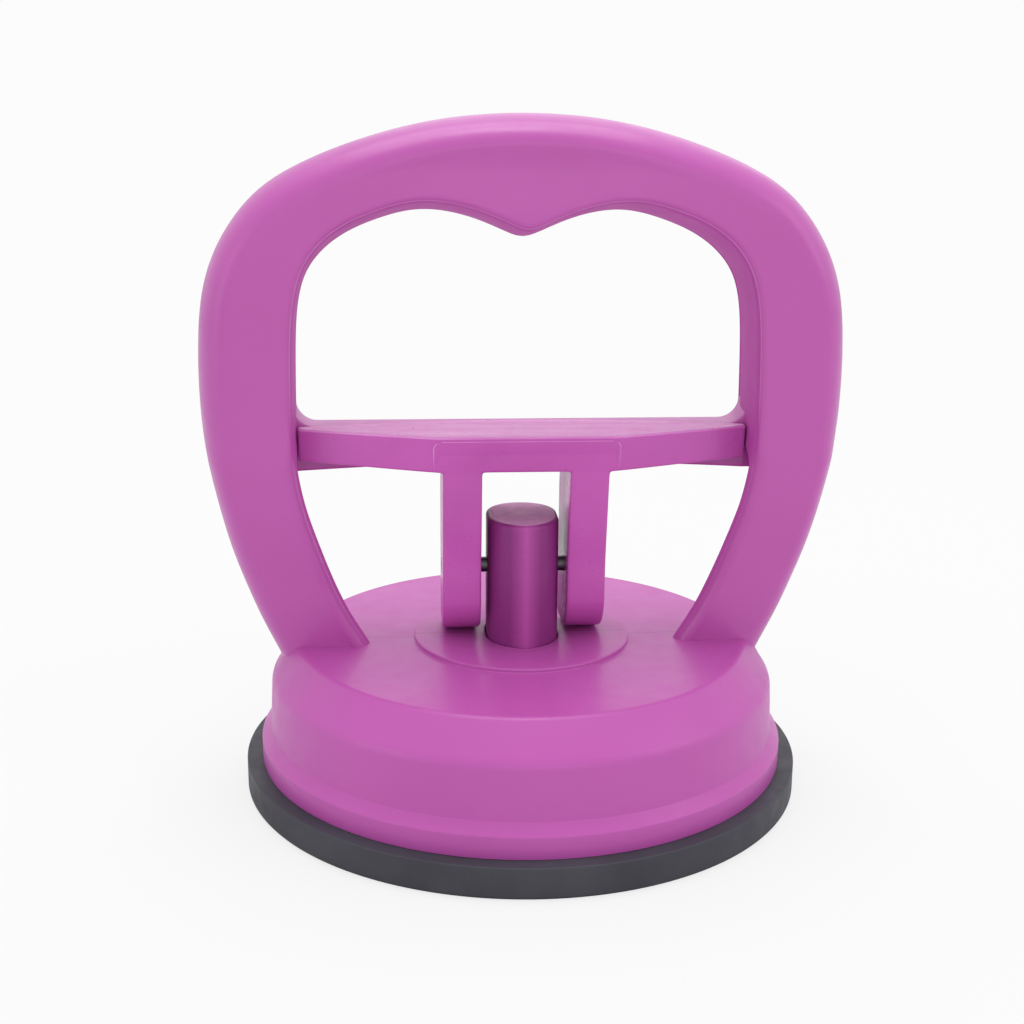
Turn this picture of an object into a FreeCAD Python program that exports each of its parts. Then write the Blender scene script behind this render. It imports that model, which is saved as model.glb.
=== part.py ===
"""Mini suction lifter: a vacuum cup with a loop handle and a folding cam lever.

Five separate pieces in one frame, millimetres, +Z up.  The origin is the centre
of the rubber pad's underside, the handle loop lies in the XZ plane and the
lever folds towards -Y.  The part is modelled locked: lever upright, pad
centre drawn up inside the dome.
"""
import FreeCAD, Part
import math
import os

V = FreeCAD.Vector

# ---------------------------------------------------------------- rubber pad
pad_radius = 27.5
pad_thickness = 3.05
pad_seat_radius = 21.0       # inside this the underside lifts off the surface
pad_centre_radius = 11.0     # flat centre carried by the plunger
pad_ring_width = 1.6
pad_ring_height = 1.3
pad_edge_bevel = 0.35
pad_sweep = [(0.3, 0.17), (0.7, 0.83)]   # S-shaped web

# ---------------------------------------------------------------- dome
flange_radius = 25.96
flange_top_z = 4.9
wall_foot_radius = 25.1
wall_foot_z = 6.0
wall_top_radius = 24.85
wall_top_z = 10.2
crown_profile = [(24.45, 11.55), (23.55, 12.65), (22.20, 13.42)]
shoulder_radius = 20.6
shoulder_z = 13.9
dome_centre_z = 14.35        # top surface where it meets the guide flange
wall_thickness = 2.2
rib_count = 6
rib_thickness = 1.3
rib_bottom_z = 10.6

# ---------------------------------------------------------------- guide
guide_radius = 10.7
guide_top_z = 14.7
guide_bevel = 0.15
guide_sleeve_radius = 7.0
guide_sleeve_bottom_z = 10.6

# ---------------------------------------------------------------- plunger
post_half_width = 3.5        # flat sides, half round behind
post_half_depth = 4.95
post_nose_start_y = -0.6     # in front of this the sides curve in to a ridge
post_top_z = 26.9
disc_radius = 10.6
disc_thickness = 1.9
post_edge_bevel = 0.25

# ---------------------------------------------------------------- pivot
pivot_z = 21.8
pin_radius = 0.75

# ---------------------------------------------------------------- lever
leg_inner_x = 4.2
leg_outer_x = 7.95
leg_front_y = -3.0
leg_back_y = 4.3
leg_shoulder_gap = 0.4       # back of the leg stops this far under the crossbar
leg_neck_y = 2.4             # above that the leg stays clear of the crossbar's front
foot_heel_round = 0.9
bar_bottom_z = 31.75
bar_top_z = 35.8
bar_lip = 0.5                # thin plate edge along the top front
bar_front_y = -5.5
bar_front_half = 8.8
bar_half_length = 21.2
bar_tip_y = -1.1
bar_back_y = 0.0
bar_bulge_y = 2.9
bar_tip_rise = 0.75          # underside climbs this much towards the tips
bar_bottom_y = -3.0
bar_bottom_half = 8.25
lever_swing = 80.0           # degrees from locked to released

# ---------------------------------------------------------------- handle
loop_half_width = 30.85
loop_root_z = 10.3
loop_top_z = 65.05
opening_half_width = 21.8
opening_root_z = 11.0
opening_top_z = 56.65
lobe_point_z = 54.15
handle_half_depth = 5.0
foot_half_depth = 2.8
# heights where the arms' depth has grown by these shares, feet upwards
arm_taper = [(0.0, 14.0), (0.3, 21.0), (0.85, 28.5), (1.0, 33.0)]
lean_start_z = 44.0          # the opening's crown starts to lean above here
opening_lean = 1.3           # the opening's crown drops this much, front to back
opening_rim = 0.6
crossbar_bottom_z = 31.3
crossbar_top_z = 35.6
crossbar_back_y = 4.6
crossbar_corner = 2.0

# how far the outer edge draws in at each share of the half depth
crown_steps = [(0.0, 0.0), (0.55, 0.32), (0.86, 1.3), (1.0, 2.9)]

# outer edge from root to crown, as shares of the half width and of the height
outer_shape = [
    (0.740, 0.000), (0.785, 0.057), (0.832, 0.115), (0.879, 0.184), (0.922, 0.261),
    (0.956, 0.340), (0.987, 0.438), (1.000, 0.542), (0.995, 0.634), (0.976, 0.707),
    (0.939, 0.767), (0.880, 0.822), (0.792, 0.875), (0.669, 0.917), (0.517, 0.952),
    (0.265, 0.988), (0.000, 1.000),
]
# each arm's inner edge from root to crossbar, as shares of the opening's sizes
arm_shape = [
    (0.640, 0.000), (0.709, 0.066), (0.778, 0.131), (0.849, 0.206), (0.915, 0.294),
    (0.968, 0.383), (0.998, 0.495),
]
# finger opening from the crossbar over its lobe to the middle point
lobe_shape = [
    (1.000, 0.635), (0.995, 0.727), (0.979, 0.811), (0.947, 0.865), (0.885, 0.911),
    (0.780, 0.951), (0.633, 0.981), (0.468, 1.000), (0.317, 0.996), (0.179, 0.977),
    (0.064, 0.954),
]

# ---------------------------------------------------------------- clearances
slide_gap = 0.08             # plunger in its guide, each side
hinge_gap = 0.05             # lever on the pin, radial
foot_gap = 0.03              # cam feet above the guide flange
lever_back_gap = 0.35        # lever to crossbar
pin_recess = 0.35            # pin ends below the leg faces

# ---------------------------------------------------------------- cam
# the cam lets the plunger down evenly as the lever swings, in mm per radian
cam_rise = (pivot_z - guide_top_z + leg_front_y) / (math.pi / 2)
pad_draw = cam_rise * math.radians(lever_swing)   # locked lever holds the pad up

os.makedirs("parts", exist_ok=True)


def export(shape, name):
    """Write one piece as parts/NAME.step."""
    shape.exportStep("parts/" + name + ".step")


def wire_of(*items):
    """Closed wire from a mix of edges and straight runs between their ends."""
    return Part.Wire(Part.__sortEdges__(list(items)))


def polygon(points):
    """Closed polygon face from (x, y, z) points."""
    closed = [V(*p) for p in points]
    closed.append(closed[0])
    return Part.Face(Part.makePolygon(closed))


def revolve(profile):
    """Solid of revolution about Z from a closed (radius, z) profile."""
    face = polygon([(r, 0, z) for r, z in profile])
    return face.revolve(V(0, 0, 0), V(0, 0, 1), 360)


def spline(points, start=None, end=None):
    """Smooth edge through the points, with optional end tangents."""
    curve = Part.BSplineCurve()
    if start and end:
        curve.interpolate(points, InitialTangent=start, FinalTangent=end)
    else:
        curve.interpolate(points)
    return curve.toShape()


def line(a, b):
    """Straight edge from a to b."""
    return Part.makeLine(a, b)


def mirror_x(shape):
    """The shape's mirror image in the YZ plane."""
    return shape.mirror(V(0, 0, 0), V(1, 0, 0))


def cylinder_x(radius, x0, x1, z):
    """Cylinder along X between x0 and x1 at height z."""
    return Part.makeCylinder(radius, x1 - x0, V(x0, 0, z), V(1, 0, 0))


def edges_where(shape, test):
    """Edges whose mid point passes the test."""
    picked = []
    for edge in shape.Edges:
        middle = edge.valueAt((edge.FirstParameter + edge.LastParameter) / 2)
        if edge.Length > 0.05 and test(edge, middle):
            picked.append(edge)
    return picked


# ---------------------------------------------------------------- suction pad
def make_pad():
    """Rubber disc with its centre drawn up and a ring round the plunger disc."""
    t = pad_thickness
    up = pad_draw
    ring_in = pad_centre_radius
    ring_out = pad_centre_radius + pad_ring_width
    web_out = pad_seat_radius
    profile = [(0, up), (ring_in, up)]
    profile += [(ring_in + (web_out - ring_in) * run, up * (1 - rise)) for run, rise in pad_sweep]
    profile += [(web_out, 0), (pad_radius, 0), (pad_radius, t - pad_edge_bevel),
                (pad_radius - pad_edge_bevel, t), (web_out, t)]
    profile += [(web_out + (ring_out - web_out) * run, t + up * rise) for run, rise in pad_sweep]
    profile += [(ring_out, t + up), (ring_out, t + up + pad_ring_height),
                (ring_in, t + up + pad_ring_height), (ring_in, t + up), (0, t + up)]
    return revolve(profile)


# ---------------------------------------------------------------- dome
def make_dome():
    """Hollow dome with guide sleeve, ribs and bore; the lower half of the body."""
    base = pad_thickness
    skin = wall_thickness
    slope = [V(shoulder_radius, 0, shoulder_z), V(guide_radius, 0, dome_centre_z),
             V(guide_radius, 0, guide_top_z - guide_bevel),
             V(guide_radius - guide_bevel, 0, guide_top_z), V(0, 0, guide_top_z),
             V(0, 0, guide_sleeve_bottom_z),
             V(guide_sleeve_radius, 0, guide_sleeve_bottom_z),
             V(guide_sleeve_radius, 0, dome_centre_z - skin),
             V(shoulder_radius - 1.2, 0, shoulder_z - skin),
             V(wall_top_radius - skin - 0.75, 0, wall_top_z + 0.65),
             V(wall_top_radius - skin, 0, wall_top_z - 0.6)]
    inner = [slope[-1],
             V(flange_radius - skin - 1.1, 0, base), V(flange_radius, 0, base),
             V(flange_radius, 0, flange_top_z),
             V(wall_foot_radius, 0, wall_foot_z),
             V(wall_top_radius, 0, wall_top_z)]
    inner += [V(r, 0, z) for r, z in crown_profile]
    inner.append(slope[0])
    edges = []
    edges += [line(a, b) for a, b in zip(slope[:-1], slope[1:])]
    edges += [line(a, b) for a, b in zip(inner[:-1], inner[1:])]
    dome = Part.Face(wire_of(*edges)).revolve(V(0, 0, 0), V(0, 0, 1), 360)
    ribs = []
    for i in range(rib_count):
        rib = Part.makeBox(
            wall_top_radius - skin - guide_sleeve_radius + 1.0, rib_thickness,
            shoulder_z - skin - rib_bottom_z + 0.4,
            V(guide_sleeve_radius - 0.5, -rib_thickness / 2, rib_bottom_z))
        rib.rotate(V(0, 0, 0), V(0, 0, 1), 360.0 * (i + 0.5) / rib_count)
        ribs.append(rib)
    keep = Part.makeCylinder(wall_top_radius - skin + 0.6, 20)
    ribs = [rib.common(keep) for rib in ribs]
    return dome.fuse(ribs)


# ---------------------------------------------------------------- handle
def placed(shape, half_width, low, high):
    """Points (x, z) of an edge given in shares of a half width and a height."""
    return [(x * half_width, low + z * (high - low)) for x, z in shape]


outer_edge = placed(outer_shape, loop_half_width, loop_root_z, loop_top_z)
arm_edge = placed(arm_shape, opening_half_width, opening_root_z, opening_top_z)
lobe_edge = placed(lobe_shape, opening_half_width, opening_root_z, opening_top_z)


def outline_wire(y, inset):
    """Closed edge of one half of the loop at depth y, drawn in by inset."""
    path = Part.BSplineCurve()
    path.interpolate([V(x, 0, z) for x, z in outer_edge])
    points = []
    for x, z in outer_edge:
        run = path.tangent(path.parameter(V(x, 0, z)))[0]
        points.append(V(x - inset * run.z, y, z + inset * run.x))
    points[-1].x = 0.0
    root = V(0, y, points[0].z)
    return wire_of(spline(points), line(points[-1], root), line(root, points[0]))


def opening_wire(y, grow, drop):
    """Edge of the opening at depth y, widened by grow, crown lowered by drop."""
    arm = [V(x + grow, y, z) for x, z in arm_edge]
    crest = []
    for x, z in lobe_edge:
        share = (z - lean_start_z) / (lobe_point_z - lean_start_z)
        share = max(0.0, min(1.0, share))
        crest.append(V(x + grow * x / opening_half_width, y, z + (grow - drop) * share))
    arm_curve = spline(arm)
    top = spline([arm[-1]] + crest)
    point = V(0, y, lobe_point_z + grow - drop)
    nose = Part.Arc(crest[-1], point, V(-crest[-1].x, y, crest[-1].z)).toShape()
    foot = V(-arm[0].x, y, arm[0].z)
    return wire_of(arm_curve, top, nose, mirror_x(top), mirror_x(arm_curve),
                   line(foot, arm[0]))


def depth_slab():
    """Side profile of the loop: full depth above, thinner towards the feet."""
    d = handle_half_depth
    f = foot_half_depth
    x = -loop_half_width - 4
    foot_z = arm_taper[0][1]
    full_z = arm_taper[-1][1]
    rear = spline([V(x, f + (d - f) * share, z) for share, z in arm_taper],
                  V(0, 0.1, 1), V(0, 0, 1))
    front = rear.mirror(V(0, 0, 0), V(0, 1, 0))
    low = loop_root_z - 1
    high = loop_top_z + 1
    rim = [V(x, d, full_z), V(x, d, high), V(x, -d, high), V(x, -d, full_z)]
    root = [V(x, -f, foot_z), V(x, -f, low), V(x, f, low), V(x, f, foot_z)]
    edges = [rear, front]
    edges += [line(a, b) for a, b in zip(rim[:-1], rim[1:])]
    edges += [line(a, b) for a, b in zip(root[:-1], root[1:])]
    return Part.Face(wire_of(*edges)).extrude(V(-2 * x, 0, 0))


def make_loop():
    """Loop handle: crowned outer edge, leaning opening, arms thinner at the feet."""
    d = handle_half_depth
    steps = [(-share * d, inset) for share, inset in reversed(crown_steps)]
    steps += [(share * d, inset) for share, inset in crown_steps[1:]]
    half = Part.makeLoft([outline_wire(y, inset) for y, inset in steps], True, True)
    loop = half.fuse(mirror_x(half))
    over = d + 0.4
    flush = d - opening_rim
    layers = []
    for y, grow in ((-over, over - flush), (-flush, 0), (flush, 0), (over, over - flush)):
        layers.append(opening_wire(y, grow, opening_lean / 2 * y / d))
    opening = Part.makeLoft(layers, True, True)
    return loop.common(depth_slab()).cut(opening)


def back_curve(gap, half, z):
    """Lever's bowed back edge in plan, pushed back by gap."""
    return Part.Arc(V(half, bar_back_y + gap, z), V(0, bar_bulge_y + gap, z),
                    V(-half, bar_back_y + gap, z)).toShape()


def make_crossbar():
    """Fixed bar between the arms that backs the upright lever."""
    c = crossbar_corner
    top = crossbar_top_z
    arm = arm_edge[-1][0]
    reach = arm + 3.5
    turn = c * (1 - math.sqrt(0.5))
    right = [V(reach, 0, crossbar_bottom_z), V(reach, 0, top + c), V(arm, 0, top + c)]
    bend = Part.Arc(V(arm, 0, top + c), V(arm - turn, 0, top + turn),
                    V(arm - c, 0, top)).toShape()
    half = [line(right[0], right[1]), line(right[1], right[2]), bend]
    edges = half + [mirror_x(e) for e in half]
    edges.append(line(V(arm - c, 0, top), V(c - arm, 0, top)))
    edges.append(line(V(-reach, 0, crossbar_bottom_z), V(reach, 0, crossbar_bottom_z)))
    bar = Part.Face(wire_of(*edges)).extrude(V(0, crossbar_back_y, 0))
    half_room = bar_half_length + 0.6
    low = crossbar_bottom_z - 1
    room = Part.Face(wire_of(
        back_curve(lever_back_gap, half_room, low),
        line(V(half_room, bar_back_y + lever_back_gap, low), V(half_room, -9, low)),
        line(V(half_room, -9, low), V(-half_room, -9, low)),
        line(V(-half_room, -9, low), V(-half_room, bar_back_y + lever_back_gap, low))))
    return bar.cut(room.extrude(V(0, 0, 12)))


def make_body():
    """Dome, loop and crossbar as one moulding, bored for the plunger."""
    skin = wall_thickness
    hollow = revolve([
        (guide_sleeve_radius, pad_thickness), (flange_radius - skin - 1.1, pad_thickness),
        (wall_top_radius - skin, wall_top_z - 0.6), (shoulder_radius - 1.2, shoulder_z - skin),
        (guide_sleeve_radius, dome_centre_z - skin)])
    loop = make_loop().cut(hollow)
    body = make_dome().fuse([loop, make_crossbar()])
    bore = post_prism(slide_gap).extrude(V(0, 0, guide_top_z + 2))
    return body.cut(bore)


# ---------------------------------------------------------------- plunger
def post_prism(gap):
    """Plan of the post: round back, flat sides and a front that comes to a soft ridge."""
    x = post_half_width + gap
    nose = post_half_depth + gap + post_nose_start_y
    radius = (x * x + nose * nose) / (2 * x)
    half_turn = math.acos((radius - x) / radius) / 2
    nose_x = x - radius + radius * math.cos(half_turn)
    nose_y = post_nose_start_y - radius * math.sin(half_turn)
    side = V(x, post_nose_start_y, 0)
    far_side = V(-x, post_nose_start_y, 0)
    heel_y = post_half_depth - post_half_width
    right = Part.Arc(side, V(nose_x, nose_y, 0), V(0, post_nose_start_y - nose, 0)).toShape()
    back = Part.Arc(V(x, heel_y, 0), V(0, heel_y + x, 0), V(-x, heel_y, 0)).toShape()
    return Part.Face(wire_of(back, right, mirror_x(right), line(side, V(x, heel_y, 0)),
                             line(far_side, V(-x, heel_y, 0))))


def make_plunger():
    """Post with the disc that carries the pad's centre."""
    foot = pad_thickness + pad_draw
    post = post_prism(0)
    post.translate(V(0, 0, foot))
    post = post.extrude(V(0, 0, post_top_z - foot))
    top = edges_where(post, lambda e, m: abs(m.z - post_top_z) < 1e-3)
    post = post.makeChamfer(post_edge_bevel, top)
    disc = Part.makeCylinder(disc_radius, disc_thickness, V(0, 0, foot))
    edge = edges_where(disc, lambda e, m: abs(m.z - foot - disc_thickness) < 1e-3)
    disc = disc.makeChamfer(0.4, edge)
    hole = cylinder_x(pin_radius, -post_half_depth, post_half_depth, pivot_z)
    return post.fuse(disc).cut(hole).removeSplitter()


def make_pin():
    """Steel pivot pin, both ends slightly chamfered."""
    half = leg_outer_x - pin_recess
    pin = cylinder_x(pin_radius, -half, half, pivot_z)
    ends = edges_where(pin, lambda e, m: abs(abs(m.x) - half) < 1e-3)
    return pin.makeChamfer(0.15, ends)


# ---------------------------------------------------------------- lever
def cam_curve(x):
    """Front of the cam foot: its depth below the pin falls evenly with the angle."""
    points = []
    for k in range(7):
        a = math.radians(15.0 * k)
        h = pivot_z - guide_top_z - foot_gap - cam_rise * a
        y = cam_rise * math.cos(a) - h * math.sin(a)
        z = pivot_z - h * math.cos(a) - cam_rise * math.sin(a)
        points.append(V(x, y, z))
    return points


def make_leg():
    """Right fork leg with its cam foot."""
    x = leg_inner_x
    curve = cam_curve(x)
    front = spline(curve, V(0, -1, 0), V(0, 0, 1))
    sole = curve[0].z
    r = foot_heel_round
    shoulder = crossbar_bottom_z - leg_shoulder_gap
    top = bar_bottom_z + 1.5
    corners = [curve[-1], V(x, curve[-1].y, top), V(x, leg_neck_y, top),
               V(x, leg_neck_y, shoulder), V(x, leg_back_y, shoulder),
               V(x, leg_back_y, sole + r)]
    turn = r * (1 - math.sqrt(0.5))
    heel = Part.Arc(V(x, leg_back_y, sole + r), V(x, leg_back_y - turn, sole + turn),
                    V(x, leg_back_y - r, sole)).toShape()
    edges = [front, heel, line(V(x, leg_back_y - r, sole), curve[0])]
    edges += [line(a, b) for a, b in zip(corners[:-1], corners[1:])]
    leg = Part.Face(wire_of(*edges)).extrude(V(leg_outer_x - leg_inner_x, 0, 0))
    return leg


def bar_outline(z, front_y, front_half, half, tip_y):
    """Plan outline of the lever's bar at height z."""
    points = [V(-half, bar_back_y, z), V(-half, tip_y, z), V(-front_half, front_y, z),
              V(front_half, front_y, z), V(half, tip_y, z), V(half, bar_back_y, z)]
    edges = [line(a, b) for a, b in zip(points[:-1], points[1:])]
    edges.append(back_curve(0, half, z))
    return Part.Wire(edges)


def make_lever():
    """Thumb bar on two fork legs, in one piece."""
    lip_z = bar_top_z - bar_lip
    top = bar_outline(bar_top_z, bar_front_y, bar_front_half, bar_half_length, bar_tip_y)
    under = bar_outline(lip_z, bar_front_y, bar_front_half, bar_half_length, bar_tip_y)
    under_in = bar_outline(lip_z, bar_front_y + 0.15, bar_front_half, bar_half_length,
                           bar_tip_y + 0.1)
    low = bar_outline(bar_bottom_z, bar_bottom_y, bar_bottom_half, bar_half_length - 0.5,
                      bar_tip_y + 0.3)
    plate = Part.makeLoft([under, top], True, True)
    block = Part.makeLoft([low, under_in], True, True)
    bar = plate.fuse(block)
    leg = make_leg()
    lever = bar.fuse([leg, mirror_x(leg)])
    reach = bar_half_length + 2
    climb = bar_tip_rise * (reach - leg_outer_x) / (bar_half_length - leg_outer_x)
    for side in (1, -1):
        near = side * leg_outer_x
        far = side * reach
        wedge = polygon([(near, -9, bar_bottom_z - 2), (near, -9, bar_bottom_z),
                         (far, -9, bar_bottom_z + climb), (far, -9, bar_bottom_z - 2)])
        lever = lever.cut(wedge.extrude(V(0, 18, 0)))
    hole = cylinder_x(pin_radius + hinge_gap, -leg_outer_x - 1, leg_outer_x + 1, pivot_z)
    return lever.cut(hole).removeSplitter()


export(make_pad(), "suction_pad")
export(make_body(), "body")
export(make_plunger(), "plunger")
export(make_pin(), "pivot_pin")
export(make_lever(), "lever")
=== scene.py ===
import logging
import math
from abc import ABC, abstractmethod
from dataclasses import dataclass, field
from enum import Enum, IntEnum
from typing import Callable, Iterable, Sequence

import bmesh
import bpy
import numpy as np
from mathutils import Matrix, Vector


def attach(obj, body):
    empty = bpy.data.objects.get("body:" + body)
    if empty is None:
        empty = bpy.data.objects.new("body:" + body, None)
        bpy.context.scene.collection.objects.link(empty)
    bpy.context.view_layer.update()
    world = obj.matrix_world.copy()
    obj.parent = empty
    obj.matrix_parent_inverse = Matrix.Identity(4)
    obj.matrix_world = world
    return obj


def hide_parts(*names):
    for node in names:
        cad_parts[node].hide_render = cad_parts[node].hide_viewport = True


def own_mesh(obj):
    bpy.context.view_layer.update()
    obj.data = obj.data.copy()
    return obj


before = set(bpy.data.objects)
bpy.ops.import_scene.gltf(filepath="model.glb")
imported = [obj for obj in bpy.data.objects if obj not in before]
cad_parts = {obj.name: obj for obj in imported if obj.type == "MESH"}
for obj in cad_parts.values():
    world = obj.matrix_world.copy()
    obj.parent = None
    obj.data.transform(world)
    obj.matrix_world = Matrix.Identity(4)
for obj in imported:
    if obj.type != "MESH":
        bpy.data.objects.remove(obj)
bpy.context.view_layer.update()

log = logging.getLogger("suction_lifter")

MM = 0.001
DENSE_STEPS = 2400
Point2 = tuple[float, float]
Point3 = tuple[float, float, float]


# ------------------------------------------------------------------ curves
def through(points: Sequence[Point2], count: int, cuts: Sequence[Point2] = ()) -> np.ndarray:
    """Natural cubic curve through the points.

    Args:
        points: Places the curve passes through, in order.
        count: How many steps each stretch between two cuts is divided into.
        cuts: Places near which a stretch ends; the two ends always count.

    Returns:
        Array of points on the curve, one row each.
    """
    given = np.array(points, float)
    chord = np.r_[0, np.cumsum(np.linalg.norm(np.diff(given, axis=0), axis=1))]
    size = len(given)
    system = np.zeros((size, size))
    right = np.zeros((size, given.shape[1]))
    system[0, 0] = system[-1, -1] = 1
    for i in range(1, size - 1):
        before, after = chord[i] - chord[i - 1], chord[i + 1] - chord[i]
        system[i, i - 1:i + 2] = before, 2 * (before + after), after
        right[i] = 6 * ((given[i + 1] - given[i]) / after - (given[i] - given[i - 1]) / before)
    bend = np.linalg.solve(system, right)

    def at(t: np.ndarray) -> np.ndarray:
        """Points of the curve.

        Args:
            t: Lengths along the chord.

        Returns:
            Array of points, one row for each length.
        """
        i = np.clip(np.searchsorted(chord, t) - 1, 0, size - 2)
        step = chord[i + 1] - chord[i]
        a = ((chord[i + 1] - t) / step)[:, None]
        b = ((t - chord[i]) / step)[:, None]
        curve = a * given[i] + b * given[i + 1]
        return curve + ((a ** 3 - a) * bend[i] + (b ** 3 - b) * bend[i + 1]) * (step[:, None] ** 2) / 6

    dense = at(np.linspace(0, chord[-1], DENSE_STEPS))
    run = np.r_[0, np.cumsum(np.linalg.norm(np.diff(dense, axis=0), axis=1))]
    marks = [0.0]
    marks += [run[np.argmin(np.linalg.norm(dense - np.array(c), axis=1))] for c in cuts]
    marks.append(run[-1])
    wanted = [np.linspace(a, b, count, endpoint=False) for a, b in zip(marks[:-1], marks[1:])]
    wanted = np.r_[np.concatenate(wanted), run[-1]]
    return np.stack([np.interp(wanted, run, dense[:, k]) for k in range(given.shape[1])], axis=1)


def left_normals(path: np.ndarray) -> np.ndarray:
    """Unit normals to the left of a path.

    Args:
        path: Points (x, z), one row each.

    Returns:
        The normal at each point, one row each.
    """
    run = np.gradient(path, axis=0)
    run /= np.linalg.norm(run, axis=1)[:, None]
    return np.stack([-run[:, 1], run[:, 0]], axis=1)


def rounded(corners: Sequence[tuple[float, float, float]], steps: int = 5) -> list[Point2]:
    """Open profile with its corners rounded.

    Args:
        corners: (radius, z, rounding) of each corner, in order.
        steps: Points on each rounding.

    Returns:
        Points of the profile as (radius, z).
    """
    out: list[Point2] = []
    for i, (x, z, r) in enumerate(corners):
        if r <= 0 or i in (0, len(corners) - 1):
            out.append((x, z))
            continue
        here = Vector((x, z))
        back = Vector(corners[i - 1][:2]) - here
        ahead = Vector(corners[i + 1][:2]) - here
        half = back.angle(ahead) / 2
        cut = min(r / math.tan(half), back.length * 0.49, ahead.length * 0.49)
        start, end = here + back.normalized() * cut, here + ahead.normalized() * cut
        for k in range(steps + 1):
            t = k / steps
            p = start * (1 - t) ** 2 + here * 2 * t * (1 - t) + end * t ** 2
            out.append((p.x, p.y))
    return out


def ramp(value: float, low: float, high: float) -> float:
    """Smooth share from 0 below low to 1 above high."""
    t = min(1.0, max(0.0, (value - low) / (high - low)))
    return t * t * (3 - 2 * t)


# ------------------------------------------------------------------ meshes
@dataclass
class Skin:
    """Points and faces of one piece while it is shaped, in millimetres."""

    points: list[Point3] = field(default_factory=list)
    faces: list[tuple[int, ...]] = field(default_factory=list)
    marks: list[int] = field(default_factory=list)

    def ring(self, points: Iterable[Point3]) -> list[int]:
        """Adds a row of points.

        Args:
            points: The points, in order.

        Returns:
            Their numbers.
        """
        first = len(self.points)
        self.points.extend(tuple(float(c) for c in p) for p in points)
        return list(range(first, len(self.points)))

    def face(self, corners: Sequence[int], mark: int = 0) -> None:
        """Adds one face with the number of its finish."""
        self.faces.append(tuple(corners))
        self.marks.append(mark)

    def bridge(self, a: Sequence[int], b: Sequence[int], closed: bool = True,
               other: Sequence[int] = ()) -> None:
        """Joins two rings of equal length with four-sided faces.

        Args:
            a: Point numbers of the first ring.
            b: Point numbers of the second ring.
            closed: Whether the last place joins the first.
            other: Places whose faces take the second finish.
        """
        count = len(a)
        for i in range(count if closed else count - 1):
            j = (i + 1) % count
            self.face((a[i], a[j], b[j], b[i]), int(i in other))

    def fan(self, ring: Sequence[int], centre: Point3, mark: int = 0) -> None:
        """Closes a ring with triangles to a middle point.

        Args:
            ring: Point numbers of the ring.
            centre: The middle point.
            mark: Number of the faces' finish.
        """
        middle = self.ring([centre])[0]
        for i, corner in enumerate(ring):
            self.face((corner, ring[(i + 1) % len(ring)], middle), mark)

    def lathe(self, profile: Sequence[Point2], around: int,
              reach: Callable[[float, float, int], float] | None = None,
              closed: bool = True) -> list[list[int]]:
        """Turns a (radius, z) profile about the Z axis.

        Args:
            profile: Points of the profile.
            around: Points on each ring.
            reach: Optional radius from the angle, the profile's radius and its place in the profile.
            closed: Whether the last ring joins the first.

        Returns:
            The rings' point numbers.
        """
        rings = []
        for k, (r, z) in enumerate(profile):
            ring = []
            for i in range(around):
                a = 2 * math.pi * i / around
                radius = reach(a, r, k) if reach else r
                ring.append((radius * math.cos(a), radius * math.sin(a), z))
            rings.append(self.ring(ring))
        for a, b in zip(rings[:-1], rings[1:]):
            self.bridge(a, b)
        if closed:
            self.bridge(rings[-1], rings[0])
        return rings

    def piece(self, name: str, finishes: Sequence["Finish"], crease: float = 40.0) -> bpy.types.Object:
        """Makes the Blender object.

        Args:
            name: The object's name.
            finishes: Its materials, in the order of the faces' marks.
            crease: Edges sharper than this many degrees stay sharp.

        Returns:
            The object, linked to the scene.
        """
        mesh = bpy.data.meshes.new(name)
        mesh.from_pydata([tuple(c * MM for c in p) for p in self.points], [], self.faces)
        for face, mark in zip(mesh.polygons, self.marks):
            face.material_index = mark
        shape = bmesh.new()
        shape.from_mesh(mesh)
        bmesh.ops.remove_doubles(shape, verts=shape.verts, dist=1e-7)
        bmesh.ops.recalc_face_normals(shape, faces=shape.faces)
        shape.to_mesh(mesh)
        shape.free()
        mesh.shade_smooth()
        mesh.set_sharp_from_angle(angle=math.radians(crease))
        for finish in finishes:
            mesh.materials.append(finish.material())
        piece = bpy.data.objects.new(name, mesh)
        bpy.context.scene.collection.objects.link(piece)
        return piece


def bake(piece: bpy.types.Object, crease: float = 50.0) -> None:
    """Applies a piece's modifiers and shades it smooth.

    Args:
        piece: The piece.
        crease: Edges sharper than this many degrees stay sharp.
    """
    bpy.context.view_layer.update()
    shaped = bpy.data.meshes.new_from_object(piece.evaluated_get(bpy.context.evaluated_depsgraph_get()))
    piece.modifiers.clear()
    piece.data = shaped
    shaped.shade_smooth()
    shaped.set_sharp_from_angle(angle=math.radians(crease))


def smooth(piece: bpy.types.Object, levels: int, crease: float) -> None:
    """Rounds a coarse piece by subdivision.

    Args:
        piece: The piece; the spacing of its grid lines sets the size of the roundings.
        levels: Subdivision steps.
        crease: Edges sharper than this many degrees stay sharp in the shading.
    """
    rounder = piece.modifiers.new("roundings", "SUBSURF")
    rounder.levels = levels
    rounder.render_levels = levels
    bake(piece, crease)


def drill(piece: bpy.types.Object, radius: float, half: float, height: float) -> None:
    """Cuts a round hole along X through a piece.

    Args:
        piece: The piece.
        radius: Radius of the hole in millimetres.
        half: Half the hole's length.
        height: Height of its axis.
    """
    bit = Skin()
    rings = bit.lathe([(radius, -half), (radius, half)], 40, closed=False)
    bit.face(rings[0])
    bit.face(rings[1])
    bit.points = [(z, y, -x + height) for x, y, z in bit.points]
    tool = bit.piece("drill_bit", [])
    cut = piece.modifiers.new("hole", "BOOLEAN")
    cut.operation = "DIFFERENCE"
    cut.solver = "EXACT"
    cut.object = tool
    bake(piece)
    bpy.data.objects.remove(tool)


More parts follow.
